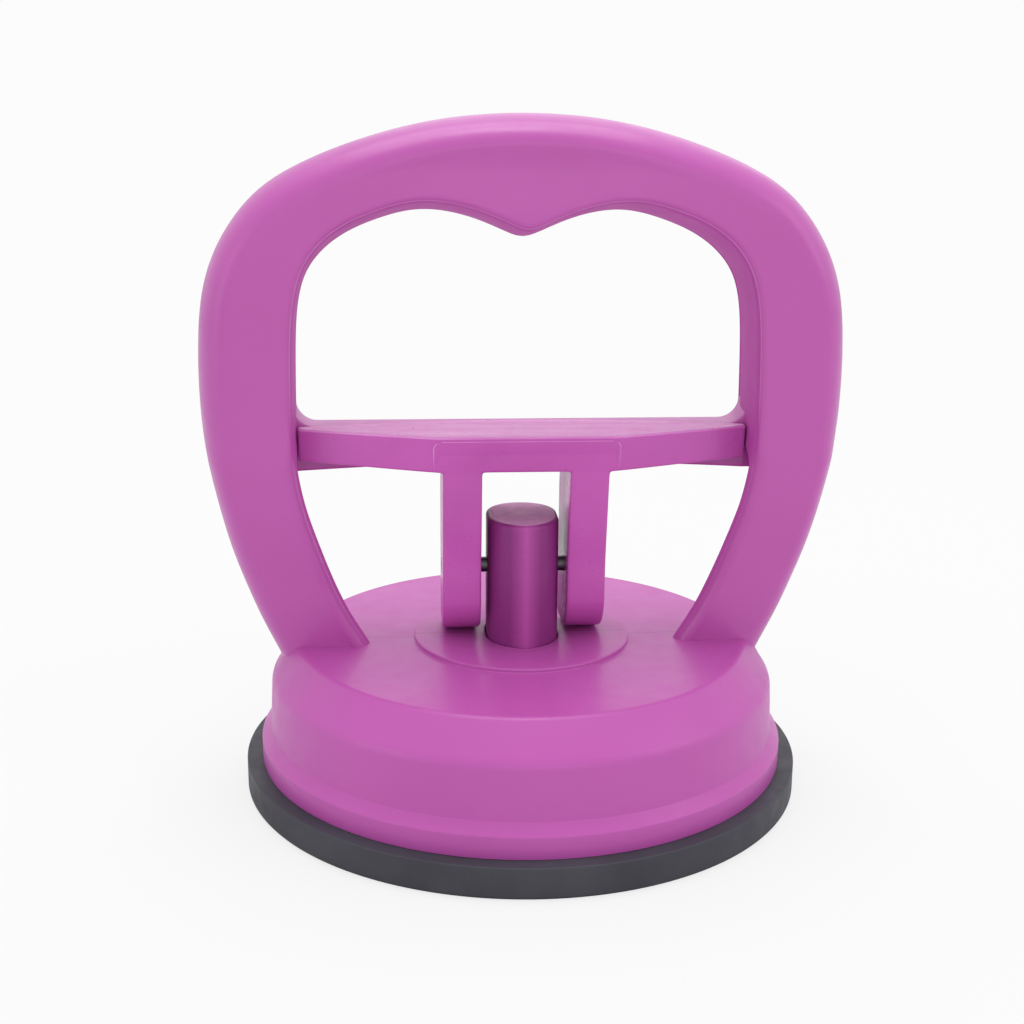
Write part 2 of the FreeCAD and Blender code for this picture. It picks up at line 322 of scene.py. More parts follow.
# ------------------------------------------------------------------ finishes
@dataclass
class NodeDesk:
    """Small helper that adds nodes to one material and joins them."""

    tree: bpy.types.NodeTree

    def add(self, kind: str) -> bpy.types.Node:
        """Adds a node."""
        return self.tree.nodes.new(kind)

    def join(self, out: bpy.types.NodeSocket, into: bpy.types.NodeSocket) -> None:
        """Joins an output to an input."""
        self.tree.links.new(out, into)

    def noise(self, scale: float, detail: float, stretch: Point3 = (1, 1, 1),
              rough: float = 0.5) -> bpy.types.NodeSocket:
        """Noise in the object's own space, by features per metre.

        Args:
            scale: Features per metre.
            detail: Octaves.
            stretch: Multiplier of the scale along each axis.
            rough: Share of the finer octaves.

        Returns:
            The noise's value.
        """
        place = self.add("ShaderNodeTexCoord")
        fit = self.add("ShaderNodeMapping")
        fit.inputs["Scale"].default_value = stretch
        grain = self.add("ShaderNodeTexNoise")
        grain.inputs["Scale"].default_value = scale
        grain.inputs["Detail"].default_value = detail
        grain.inputs["Roughness"].default_value = rough
        self.join(place.outputs["Object"], fit.inputs["Vector"])
        self.join(fit.outputs["Vector"], grain.inputs["Vector"])
        return grain.outputs["Fac"]

    def spread(self, value: bpy.types.NodeSocket, low: float, high: float,
               to_low: float, to_high: float) -> bpy.types.NodeSocket:
        """Maps a value's range onto another, held at the ends.

        Args:
            value: The value.
            low: Start of its range.
            high: End of its range.
            to_low: What the start becomes.
            to_high: What the end becomes.

        Returns:
            The mapped value.
        """
        node = self.add("ShaderNodeMapRange")
        for key, number in zip(("From Min", "From Max", "To Min", "To Max"), (low, high, to_low, to_high)):
            node.inputs[key].default_value = number
        self.join(value, node.inputs["Value"])
        return node.outputs["Result"]

    def blend(self, share: bpy.types.NodeSocket, a: bpy.types.NodeSocket | Point3,
              b: bpy.types.NodeSocket | Point3) -> bpy.types.NodeSocket:
        """Mixes two colours.

        Args:
            share: Share of the second colour.
            a: First colour.
            b: Second colour.

        Returns:
            The mixed colour.
        """
        node = self.add("ShaderNodeMix")
        node.data_type = "RGBA"
        self.join(share, node.inputs[0])
        for key, colour in ((6, a), (7, b)):
            if isinstance(colour, bpy.types.NodeSocket):
                self.join(colour, node.inputs[key])
            else:
                node.inputs[key].default_value = (*colour, 1)
        return node.outputs[2]

    def relief(self, height: bpy.types.NodeSocket, depth: float,
               over: bpy.types.NodeSocket | None = None) -> bpy.types.NodeSocket:
        """Bump on the surface.

        Args:
            height: Where the surface stands high.
            depth: The bump's depth in millimetres.
            over: Another bump that this one lies on.

        Returns:
            The bumped normal.
        """
        node = self.add("ShaderNodeBump")
        node.inputs["Strength"].default_value = 1.0
        node.inputs["Distance"].default_value = depth * MM
        self.join(height, node.inputs["Height"])
        if over is not None:
            self.join(over, node.inputs["Normal"])
        return node.outputs["Normal"]


@dataclass(frozen=True)
class Finish(ABC):
    """A procedural material with its own name."""

    name: str

    def material(self) -> bpy.types.Material:
        """Finds the material, or makes it the first time it is asked for.

        Returns:
            The material.
        """
        found = bpy.data.materials.get(self.name)
        if found is None:
            found = bpy.data.materials.new(self.name)
            found.use_nodes = True
            desk = NodeDesk(found.node_tree)
            self.dress(desk, found.node_tree.nodes["Principled BSDF"])
        return found

    @abstractmethod
    def dress(self, desk: NodeDesk, shader: bpy.types.Node) -> None:
        """Sets the shader's values and joins its nodes.

        Args:
            desk: Helper for the material's nodes.
            shader: The material's surface shader.
        """


@dataclass(frozen=True)
class SeamOrHighlight:
    """Line of colour in the plane where one coordinate is zero; on the dome it is the line that a mould's
    halves leave, on the post a painted highlight down its ridge.
    """

    axis: str
    half_width: float
    colour: Point3
    soft: float = 0.5

    def share(self, desk: NodeDesk) -> bpy.types.NodeSocket:
        """Share of the line's colour: 1 in the plane, 0 beyond the half width.

        Args:
            desk: Helper for the material's nodes.

        Returns:
            The share.
        """
        place = desk.add("ShaderNodeTexCoord")
        parts = desk.add("ShaderNodeSeparateXYZ")
        desk.join(place.outputs["Object"], parts.inputs[0])
        off = desk.add("ShaderNodeMath")
        off.operation = "ABSOLUTE"
        desk.join(parts.outputs[self.axis], off.inputs[0])
        edge = self.half_width * MM
        return desk.spread(off.outputs[0], edge * (1 - self.soft), edge, 1.0, 0.0)


@dataclass(frozen=True)
class Moulding(Finish):
    """Injection-moulded plastic: faint flow mottling, fine spark texture and an optional coloured line in a
    coordinate plane, a parting line on some parts and a painted highlight on others.
    """

    colour: Point3
    shade: Point3
    gloss: float
    grain: float
    sheen: float = 0.4
    coat: float = 0.0
    seam_or_highlight: SeamOrHighlight | None = None
    coat_gloss: float = 0.16
    refraction: float = 1.49
    flow_scale: float = 90
    haze_scale: float = 420
    grain_scale: float = 3800
    wave_scale: float = 260
    wave: float = 0.012

    def dress(self, desk: NodeDesk, shader: bpy.types.Node) -> None:
        """Flow mottling and the optional coloured line (parting line, painted highlight) on colour, two
        grains on roughness and relief.

        Args:
            desk: Helper for the material's nodes.
            shader: The material's surface shader.
        """
        flow = desk.spread(desk.noise(self.flow_scale, 3), 0.3, 0.7, 0.0, 1.0)
        ground = desk.blend(flow, self.shade, self.colour)
        # the coloured line: the dome's dark parting line, and on the post a painted highlight spreading from
        # the front ridge
        if self.seam_or_highlight:
            ground = desk.blend(self.seam_or_highlight.share(desk), ground, self.seam_or_highlight.colour)
        desk.join(ground, shader.inputs["Base Color"])
        fine = desk.noise(self.grain_scale, 2)
        haze = desk.spread(desk.noise(self.haze_scale, 4), 0.3, 0.7, self.gloss - 0.04, self.gloss + 0.05)
        desk.join(haze, shader.inputs["Roughness"])
        surface = desk.relief(fine, self.grain)
        surface = desk.relief(desk.noise(self.wave_scale, 2), self.wave, surface)
        desk.join(surface, shader.inputs["Normal"])
        shader.inputs["IOR"].default_value = self.refraction
        shader.inputs["Coat Weight"].default_value = self.coat
        shader.inputs["Coat Roughness"].default_value = self.coat_gloss
        shader.inputs["Specular IOR Level"].default_value = self.sheen


@dataclass(frozen=True)
class WornTop(Finish):
    """A rubbed upper face: matt, pale, finely grained, with a few specks and scratches along X."""

    colour: Point3 = (0.64, 0.23, 0.54)
    pale: Point3 = (0.74, 0.36, 0.65)
    scratches: float = 0.001
    along: float = 0.12
    speck: float = 0.3

    def dress(self, desk: NodeDesk, shader: bpy.types.Node) -> None:
        """Grain and lengthwise rub marks over a matt ground, with dark specks on top.

        Args:
            desk: Helper for the material's nodes.
            shader: The material's surface shader.
        """
        rub = desk.spread(desk.noise(500, 5, (self.along, 1.0, 1.0), 0.7), 0.35, 0.7, 0.0, 1.0)
        ground = desk.blend(rub, self.colour, self.pale)
        speck = desk.spread(desk.noise(1500, 1), 0.78, 0.8, 0.0, 0.75)
        dark = tuple(c * self.speck for c in self.colour)
        desk.join(desk.blend(speck, ground, dark), shader.inputs["Base Color"])
        desk.join(desk.spread(desk.noise(900, 3), 0.3, 0.7, 0.52, 0.7), shader.inputs["Roughness"])
        hair = desk.spread(desk.noise(1500, 3, (0.03, 1.0, 1.0)), 0.62, 0.66, 0.0, 1.0)
        surface = desk.relief(hair, self.scratches)
        desk.join(desk.relief(desk.noise(3200, 2), 0.008, surface), shader.inputs["Normal"])


@dataclass(frozen=True)
class Rubber(Finish):
    """Dark moulded rubber with a faint bloom and grain."""

    colour: Point3 = (0.036, 0.036, 0.047)
    bloom: Point3 = (0.052, 0.052, 0.065)
    gloss: float = 0.5
    sheen: float = 0.3

    def dress(self, desk: NodeDesk, shader: bpy.types.Node) -> None:
        """Dusty bloom on colour, grain on relief.

        Args:
            desk: Helper for the material's nodes.
            shader: The material's surface shader.
        """
        cloud = desk.spread(desk.noise(130, 5), 0.35, 0.7, 0.0, 1.0)
        desk.join(desk.blend(cloud, self.colour, self.bloom), shader.inputs["Base Color"])
        desk.join(desk.spread(desk.noise(500, 3), 0.3, 0.7, self.gloss - 0.06, self.gloss + 0.1),
                  shader.inputs["Roughness"])
        surface = desk.relief(desk.noise(3000, 2), 0.006)
        desk.join(desk.relief(desk.noise(300, 2), 0.02, surface), shader.inputs["Normal"])
        shader.inputs["Specular IOR Level"].default_value = self.sheen


@dataclass(frozen=True)
class DrawnSteel(Finish):
    """Dark drawn wire, with lines along its length."""

    colour: Point3 = (0.09, 0.085, 0.09)
    line: float = 1.8

    def dress(self, desk: NodeDesk, shader: bpy.types.Node) -> None:
        """Lengthwise lines on colour, roughness and relief.

        Args:
            desk: Helper for the material's nodes.
            shader: The material's surface shader.
        """
        lines = desk.spread(desk.noise(2500, 3, (0.05, 1, 1)), 0.3, 0.7, 0.0, 1.0)
        bright = tuple(c * self.line for c in self.colour)
        desk.join(desk.blend(lines, self.colour, bright), shader.inputs["Base Color"])
        desk.join(desk.spread(lines, 0, 1, 0.35, 0.5), shader.inputs["Roughness"])
        desk.join(desk.relief(lines, 0.004), shader.inputs["Normal"])
        shader.inputs["Metallic"].default_value = 1.0


class Purple(Enum):
    """The purples of the mouldings, in linear light; three of them are lightened or darkened to paint
    highlights and shade.
    """

    BODY = (0.475, 0.084, 0.385)
    BODY_SHADE = (0.455, 0.079, 0.367)
    LEVER = (0.56, 0.108, 0.458)
    # EDGE_HIGHLIGHT: a paler purple that paints the highlight along the lever's top-front edge and its
    # ledge's lips
    EDGE_HIGHLIGHT = (0.72, 0.29, 0.63)
    # POST_PAINTED_SHADE: the body's purple darkened to paint the shade that falls on the post between the
    # legs
    POST_PAINTED_SHADE = (0.235, 0.031, 0.185)
    # RIDGE_HIGHLIGHT: a paler purple that paints the highlight down the post's front ridge
    RIDGE_HIGHLIGHT = (0.42, 0.075, 0.335)
    SEAM = (0.3, 0.05, 0.235)


BODY_PLASTIC = Moulding("body_moulding", Purple.BODY.value, Purple.BODY_SHADE.value, 0.42, 0.005, coat=0.25)
OPENING_PLASTIC = Moulding("opening_wall", Purple.BODY.value, Purple.BODY_SHADE.value, 0.6, 0.005, sheen=0.1)
DOME_PLASTIC = Moulding("dome_moulding", Purple.BODY.value, Purple.BODY_SHADE.value, 0.42, 0.005,
                        coat=0.1, seam_or_highlight=SeamOrHighlight("Y", 0.08, Purple.SEAM.value))
LEVER_PLASTIC = Moulding("lever_moulding", Purple.LEVER.value, Purple.BODY.value, 0.3, 0.002,
                         sheen=0.3, coat=0.1)
# painted highlight: the paler purple for the lever's top-front edge band and its ledge's lips
LEVER_PAINTED_EDGE_HIGHLIGHT = Moulding("lever_painted_edge_highlight", Purple.EDGE_HIGHLIGHT.value, Purple.LEVER.value, 0.3, 0.002, sheen=0.3, coat=0.1)
LEVER_TOP = WornTop("lever_worn_top")
# the post's finish: painted shade all over, with a painted highlight spreading from the front ridge
POST_PLASTIC = Moulding("plunger_painted_shade_moulding", Purple.POST_PAINTED_SHADE.value, Purple.POST_PAINTED_SHADE.value, 0.3, 0.003,
                        sheen=0.2, seam_or_highlight=SeamOrHighlight("X", 1.5, Purple.RIDGE_HIGHLIGHT.value, 0.95))
POST_TOP = WornTop("plunger_end", (0.5, 0.2, 0.42), (0.6, 0.28, 0.51), 0.0, 1.0)
PAD_RUBBER = Rubber("moulded_rubber")
PIN_STEEL = DrawnSteel("drawn_steel")


# ------------------------------------------------------------------ sub-assemblies
@dataclass
class Part(ABC):
    """A sub-assembly that builds its pieces and puts them on a body."""

    body: str
    node: str
    slot: str

    @abstractmethod
    def build(self) -> list[bpy.types.Object]:
        """Builds the pieces in place.

        Returns:
            The pieces.
        """

    def fit(self) -> list[bpy.types.Object]:
        """Builds the pieces, rides them on their body and reports them.

        Returns:
            The pieces.
        """
        pieces = self.build()
        for piece in pieces:
            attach(piece, self.body)
            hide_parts(self.node)
            log.info("%s: %s with %d faces on %s", type(self).__name__, piece.name,
                     len(piece.data.polygons), self.body)
        return pieces


@dataclass
class SuctionPad(Part):
    """Rubber pad: a flat rim under the dome and a centre drawn up by the plunger."""

    body: str = "base"
    node: str = "suction_pad"
    slot: str = "pad_rubber"
    radius: float = 27.5
    thickness: float = 3.05
    seat_radius: float = 21.0
    centre_radius: float = 11.0
    ring_width: float = 1.6
    ring_height: float = 1.3
    ring_skirt: float = 0.6
    draw: float = 3.64
    chamfer: Point2 = (0.25, 0.3)
    top_edge: float = 0.15
    sweep: tuple[Point2, ...] = ((0.1, 0.02), (0.2, 0.08), (0.3, 0.19), (0.4, 0.33), (0.5, 0.5),
                                 (0.6, 0.67), (0.7, 0.81), (0.8, 0.92), (0.9, 0.98))
    around: int = 192

    def build(self) -> list[bpy.types.Object]:
        """Rim and web, which meet at the seat radius.

        Returns:
            The pieces.
        """
        t, up, seat = self.thickness, self.draw, self.seat_radius
        aside, rise = self.chamfer
        rim = Skin()
        rim.lathe(rounded([(seat, 0.0, 0), (self.radius - aside, 0.0, aside), (self.radius, rise, aside),
                           (self.radius, t, self.top_edge), (seat, t, 0)]), self.around)
        web = Skin()
        inner, outer = self.centre_radius, self.centre_radius + self.ring_width
        foot = outer + self.ring_skirt
        under = [(inner + (seat - inner) * s, up * (1 - h)) for s, h in self.sweep]
        over = [(seat + (foot - seat) * s, t + up * h) for s, h in self.sweep]
        profile = [(inner, up), *under, (seat, 0.0), (seat, t), *over,
                   (foot, t + up), (outer, t + up), (outer, t + up + self.ring_height),
                   (inner, t + up + self.ring_height), (inner, t + up)]
        rings = web.lathe(profile, self.around, closed=False)
        web.fan(rings[0], (0, 0, up))
        web.fan(rings[-1], (0, 0, t + up))
        centre = web.piece("pad_centre", [PAD_RUBBER])
        return [rim.piece("pad_rim", [PAD_RUBBER]), centre]

    def fit(self) -> list[bpy.types.Object]:
        """Fits the pad and gives its centre a mesh of its own.

        Returns:
            The pieces.
        """
        pieces = super().fit()
        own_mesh(pieces[1])
        return pieces


@dataclass
class PostShape:
    """Plan of the plunger post: half round behind, flat sides, a soft ridge down the front."""

    half_width: float = 3.5
    half_depth: float = 4.95
    nose_start: float = -0.6
    ridge: float = 0.08

    def reach(self, angle: float, grow: float = 0.0) -> float:
        """Distance from the axis to the outline.

        Args:
            angle: Direction from +X in radians.
            grow: How far the whole outline is moved outwards, in millimetres.

        Returns:
            The distance in millimetres.
        """
        x, heel = self.half_width + grow, self.half_depth - self.half_width
        nose = self.half_depth + grow + self.nose_start
        dx, dy = math.cos(angle), math.sin(angle)
        side = x / max(1e-6, abs(dx))
        if side * dy > heel:
            return heel * dy + math.sqrt(heel * heel * (dy * dy - 1) + x * x)
        if side * dy > self.nose_start:
            return side
        bend = (x * x + nose * nose) / (2 * x)
        flanks = []
        for centre in (x - bend, bend - x):
            along = centre * dx + self.nose_start * dy
            flanks.append(along + math.sqrt(along ** 2 - centre ** 2 - self.nose_start ** 2 + bend ** 2))
        near, far = min(flanks), max(flanks)
        return near - self.ridge * math.log1p(math.exp((near - far) / self.ridge))


@dataclass
class Dome(Part):
    """Hollow dome with its flange, its guide collar and the post's bore."""

    body: str = "base"
    node: str = "body"
    slot: str = "body_plastic"
    post: PostShape = field(default_factory=PostShape)
    slide_gap: float = 0.08
    base_z: float = 3.05
    flange_radius: float = 25.96
    flange_top: float = 5.15
    wall_foot: Point2 = (25.05, 6.15)
    brow: Point2 = (24.8, 11.3)
    shoulder: Point2 = (21.75, 14.46)
    inner_radius: float = 22.7
    collar_radius: float = 10.7
    collar_top: float = 14.7
    collar_foot: float = 14.3
    sleeve_radius: float = 7.0
    sleeve_bottom: float = 10.6
    bore: float = 5.2
    lip: float = 0.16
    foot_spread: float = 1.0
    foot_share: float = 0.17
    spread_heights: Point2 = (12.2, 14.2)
    spread_radii: Point2 = (19.0, 21.3)
    around: int = 240

    def build(self) -> list[bpy.types.Object]:
        """One closed skin, turned about the post.

        Returns:
            The pieces.
        """
        top = self.collar_top
        outside = rounded([
            (self.bore, top, 0), (self.collar_radius, top, 0.28),
            (self.collar_radius, self.collar_foot, 0.1), (*self.shoulder, 0.9), (*self.brow, 1.7),
            (*self.wall_foot, 0.12),
            (self.flange_radius, self.flange_top, 0.3), (self.flange_radius, self.base_z, 0.05),
            (self.inner_radius, self.base_z, 0)], 7)
        inside = rounded([
            (self.inner_radius, self.base_z, 0), (self.inner_radius - 0.05, 9.6, 0.8), (19.4, 11.7, 1.0),
            (self.sleeve_radius, 12.15, 0.2), (self.sleeve_radius, self.sleeve_bottom, 0.1),
            (self.bore, self.sleeve_bottom, 0)])
        bore = [(self.bore, self.sleeve_bottom), (self.bore, top - self.lip),
                (self.bore, top - self.lip * 0.3), (self.bore, top)]
        grow = [0.0, 0.0, self.lip * 0.3, self.lip]
        profile = bore + outside[1:] + inside[1:-1]

        def reach(angle: float, radius: float, k: int) -> float:
            """Bore rings follow the post's plan; the shoulder reaches out under the arms' feet.

            Args:
                angle: Direction from +X in radians.
                radius: The profile's radius.
                k: Place in the profile.

            Returns:
                The radius in that direction.
            """
            if k < len(grow):
                return self.post.reach(angle, self.slide_gap + grow[k])
            near = math.exp(-(math.sin(angle) / self.foot_share) ** 2)
            shoulder = ramp(profile[k][1], *self.spread_heights) * ramp(radius, *self.spread_radii)
            return radius + self.foot_spread * near * shoulder

        skin = Skin()
        skin.lathe(profile, self.around, reach)
        return [skin.piece("dome", [DOME_PLASTIC], 30)]


@dataclass
class LoopHandle(Part):
    """Loop handle: round outer edge, leaning finger opening, arms thinner at their feet."""

    body: str = "base"
    node: str = "body"
    slot: str = "body_plastic"
    half_depth: float = 5.0
    foot_depth: float = 2.8
    foot_edge: float = 1.5
    foot_rim: float = 1.1
    edge_round: float = 2.9
    rim_round: float = 0.55
    wall_crown: float = 0.2
    groove: float = 0.22
    lean: float = 1.3
    dish: float = 0.45
    dish_place: Point2 = (0.0, 60.2)
    dish_reach: Point2 = (8.5, 1.9)
    foot_heights: Point2 = (32.2, 35.4)
    lean_heights: Point2 = (43.0, 55.0)
    depth_marks: tuple[Point2, ...] = ((14.0, 0.0), (21.0, 0.3), (28.5, 0.85), (33.0, 1.0))
    wall_steps: tuple[float, ...] = (0.04, 0.08, 0.13, 0.18, 0.26, 0.4, 0.6, 0.8, 1.0)
    groove_place: float = 0.1
    groove_reach: float = 0.06
    stretch_steps: int = 22
    outer_cuts: tuple[Point2, ...] = ((29.5, 28.9), (30.75, 40.0), (27.2, 55.3), (16.0, 62.4))
    inner_cuts: tuple[Point2, ...] = ((21.07, 28.5), (22.0, 40.0), (19.3, 52.6), (10.2, 56.65))
    outer: tuple[Point2, ...] = (
        (22.60, 10.3), (24.03, 13.4), (25.52, 16.6), (27.02, 20.4), (28.40, 24.6), (29.42, 28.9),
        (30.40, 34.3), (30.75, 40.0), (30.60, 45.0), (30.05, 49.0), (28.95, 52.3), (27.20, 55.3),
        (24.50, 58.2), (20.70, 60.5), (16.00, 62.4), (8.20, 64.4), (0.00, 65.05))
    inner: tuple[Point2, ...] = (
        (14.45, 12.6), (15.35, 14.4), (16.75, 16.8), (18.45, 20.4), (19.85, 24.4), (21.07, 28.5),
        (21.90, 33.6), (22.00, 40.0), (21.88, 44.2), (21.50, 48.0), (20.75, 50.5), (19.30, 52.6),
        (17.00, 54.4), (13.80, 55.8), (10.20, 56.65), (6.90, 56.45), (3.90, 55.6), (1.40, 54.55),
        (0.00, 54.15))

    def depth(self, z: float) -> float:
        """Half depth of the loop.

        Args:
            z: Height.

        Returns:
            The half depth in millimetres.
        """
        heights, shares = zip(*self.depth_marks)
        share = float(np.interp(z, heights, shares))
        return self.foot_depth + (self.half_depth - self.foot_depth) * share

    def whole(self, half: Sequence[Point2], cuts: Sequence[Point2]) -> np.ndarray:
        """Edge of the whole loop.

        Args:
            half: The edge's right half, from the root to the top.
            cuts: Places that part it into stretches of equal steps.

        Returns:
            Points from the right root to the left one.
        """
        mirrored = [(-x, z) for x, z in reversed(half[:-1])]
        far = [(-x, z) for x, z in reversed(cuts)]
        return through([*half, *mirrored], self.stretch_steps, [*cuts, half[-1], *far])

    def flank(self, o: np.ndarray, on: np.ndarray, i: np.ndarray, inn: np.ndarray,
              side: int) -> list[Point3]:
        """Front or rear half of the section between one outer and one inner place.

        Args:
            o: Outer place (x, z).
            on: Normal there, into the material.
            i: Inner place (x, z).
            inn: Normal there, into the material.
            side: -1 for the front half, 1 for the rear one.

        Returns:
            Points from the middle of the outer edge round to the middle of the opening's wall.
        """
        deep = self.depth(float(o[1]))
        foot = 1 - ramp(float(i[1]), *self.foot_heights)
        full = self.depth(float(i[1]))
        thin = min(self.foot_edge, full * 0.45)
        deep_in = full + (thin - full) * foot
        middle = deep_in - full
        inner_face = middle + side * deep_in
        lean = -side * self.lean / 2 * ramp(float(i[1]), *self.lean_heights)
        width = self.edge_round * (1 - 0.25 * foot)
        rim = self.rim_round + (min(self.foot_rim, thin * 0.8) - self.rim_round) * foot
        half: list[Point3] = []
        for a in np.linspace(0, math.pi / 2, 13):
            p = o + on * width * (1 - math.cos(a))
            half.append((p[0], side * deep * math.sin(a), p[1]))
        start = o + on * width
        stop = i + inn * rim + np.array((0.0, lean))
        for t in 1 - np.linspace(1, 0, 15)[1:-1] ** 1.5:
            p = start + (stop - start) * t
            face = side * inner_face + (deep - side * inner_face) * (1 - t ** 2.2) ** 0.625
            if side < 0:
                aside, above = (p - self.dish_place) / self.dish_reach
                face -= self.dish * math.exp(-aside ** 2 - above ** 2)
            half.append((p[0], side * face, p[1]))
        for a in np.linspace(0, math.pi / 2, 6):
            p = i + inn * rim * (1 - math.sin(a)) + np.array((0.0, lean))
            half.append((p[0], inner_face - side * rim * (1 - math.cos(a)), p[1]))
        for t in self.wall_steps:
            sunk = self.groove * (1 - foot) * math.exp(-((t - self.groove_place) / self.groove_reach) ** 2)
            bulge = self.wall_crown * (1 - (1 - t) ** 2)
            p = i + inn * (sunk - bulge) + np.array((0.0, lean * (1 - t)))
            half.append((p[0], middle + side * (deep_in - rim) * (1 - t), p[1]))
        return half

    def section(self, *places: np.ndarray) -> list[Point3]:
        """Closed section at one outer and one inner place with their normals."""
        front, rear = self.flank(*places, -1), self.flank(*places, 1)
        return front + rear[-2:0:-1]

    def build(self) -> list[bpy.types.Object]:
        """Sections along the loop, joined into one skin.

        Returns:
            The pieces.
        """
        outer = self.whole(self.outer, self.outer_cuts)
        inner = self.whole(self.inner, self.inner_cuts)
        into_o, into_i = left_normals(outer), -left_normals(inner)
        skin = Skin()
        rings = [skin.ring(self.section(*places)) for places in zip(outer, into_o, inner, into_i)]
        middle, wall = len(rings[0]) // 2, len(self.wall_steps)
        for a, b in zip(rings[:-1], rings[1:]):
            skin.bridge(a, b, other=range(middle - wall, middle + wall))
        skin.face(rings[0])
        skin.face(rings[-1])
        return [skin.piece("loop_handle", [BODY_PLASTIC, OPENING_PLASTIC], 50)]


@dataclass
class Crossbar(Part):
    """Fixed bar between the arms, bowed to back the upright lever."""

    body: str = "base"
    node: str = "body"
    slot: str = "body_plastic"
    low: float = 31.3
    high: float = 35.6
    back: float = 4.6
    bow_half: float = 22.0
    bow: float = 2.9
    gap: float = 0.35
    thinnest: float = 0.05
    edge: float = 0.3
    corner: float = 2.1
    arm: float = 22.05
    embedded: Point2 = (23.0, 24.0)

    def build(self) -> list[bpy.types.Object]:
        """Upright sections from arm to arm.

        Returns:
            The pieces.
        """
        skin = Skin()
        rings = []
        start = self.arm - self.corner
        turn = [(start + self.corner * math.sin(a), self.corner * (1 - math.cos(a)))
                for a in np.linspace(0, math.pi / 2, 13)[1:]]
        half = [(x, 0.0) for x in np.linspace(0, start, 25)] + turn
        half += [(x, self.corner) for x in self.embedded]
        r = self.edge
        for x, lift in [(-x, lift) for x, lift in half[:0:-1]] + half:
            top = self.high + lift
            front = max(self.thinnest, self.bow * (1 - (x / self.bow_half) ** 2)) + self.gap
            corners = rounded([(front, self.low + 1, 0), (front, self.low, r), (self.back, self.low, r),
                               (self.back, top, r), (front, top, r), (front, self.low + 1, 0)], 3)
            rings.append(skin.ring([(x, y, z) for y, z in corners[:-1]]))
        for a, b in zip(rings[:-1], rings[1:]):
            skin.bridge(a, b)
        skin.face(rings[0])
        skin.face(rings[-1])
        return [skin.piece("crossbar", [BODY_PLASTIC], 45)]


@dataclass
class Plunger(Part):
    """Post with the disc that carries the pad's centre."""

    body: str = "plunger"
    node: str = "plunger"
    slot: str = "plunger_plastic"
    post: PostShape = field(default_factory=PostShape)
    top: float = 26.9
    foot: float = 6.69
    disc_radius: float = 10.6
    disc_thickness: float = 1.9
    disc_edge: float = 0.35
    root_radius: float = 5.4
    waist: float = 20.0
    soft: float = 0.42
    around: int = 192

    def build(self) -> list[bpy.types.Object]:
        """One skin: disc, shoulder, post and its softened end.

        Returns:
            The pieces.
        """
        skin = Skin()
        disc_top = self.foot + self.disc_thickness
        flat = [(self.disc_radius, self.foot), (self.disc_radius, disc_top - self.disc_edge),
                (self.disc_radius - self.disc_edge, disc_top), (self.root_radius, disc_top)]
        rings = skin.lathe(flat, self.around, closed=False)
        skin.fan(rings[0], (0, 0, self.foot))
        previous = rings[-1]
        ladder = [(disc_top, 0.0), (self.waist, 0.0), (self.top - self.soft, 0.0)]
        ladder += [(self.top - self.soft * (1 - math.sin(a)), self.soft * (1 - math.cos(a)))
                   for a in np.linspace(0, math.pi / 2, 6)[1:]]
        for z, inset in ladder:
            ring = []
            for k in range(self.around):
                a = 2 * math.pi * k / self.around
                r = self.post.reach(a) - inset
                ring.append((r * math.cos(a), r * math.sin(a), z))
            here = skin.ring(ring)
            skin.bridge(previous, here)
            previous = here
        skin.fan(previous, (0, 0, self.top), 1)
        return [skin.piece("plunger_post", [POST_PLASTIC, POST_TOP], 30)]


@dataclass
class PivotPin(Part):
    """Steel pin through the post and both legs."""

    body: str = "plunger"
    node: str = "pivot_pin"
    slot: str = "pin_steel"
    radius: float = 0.75
    half: float = 7.6
    height: float = 21.8
    chamfer: float = 0.15
    around: int = 32

    def build(self) -> list[bpy.types.Object]:
        """Turned profile laid along X.

        Returns:
            The pieces.
        """
        skin = Skin()
        c = self.chamfer
        profile = [(self.radius - c, -self.half), (self.radius, -self.half + c),
                   (self.radius, self.half - c), (self.radius - c, self.half)]
        rings = skin.lathe(profile, self.around, closed=False)
        skin.fan(rings[0], (0, 0, -self.half))
        skin.fan(rings[-1], (0, 0, self.half))
        skin.points = [(z, y, -x + self.height) for x, y, z in skin.points]
        return [skin.piece("pivot_pin_turned", [PIN_STEEL])]


class LeverFace(IntEnum):
    """Finishes of the lever's faces, in the order of its materials."""

    SIDE = 0
    TOP = 1
    # faces with the painted edge highlight
    EDGE_HIGHLIGHT = 2


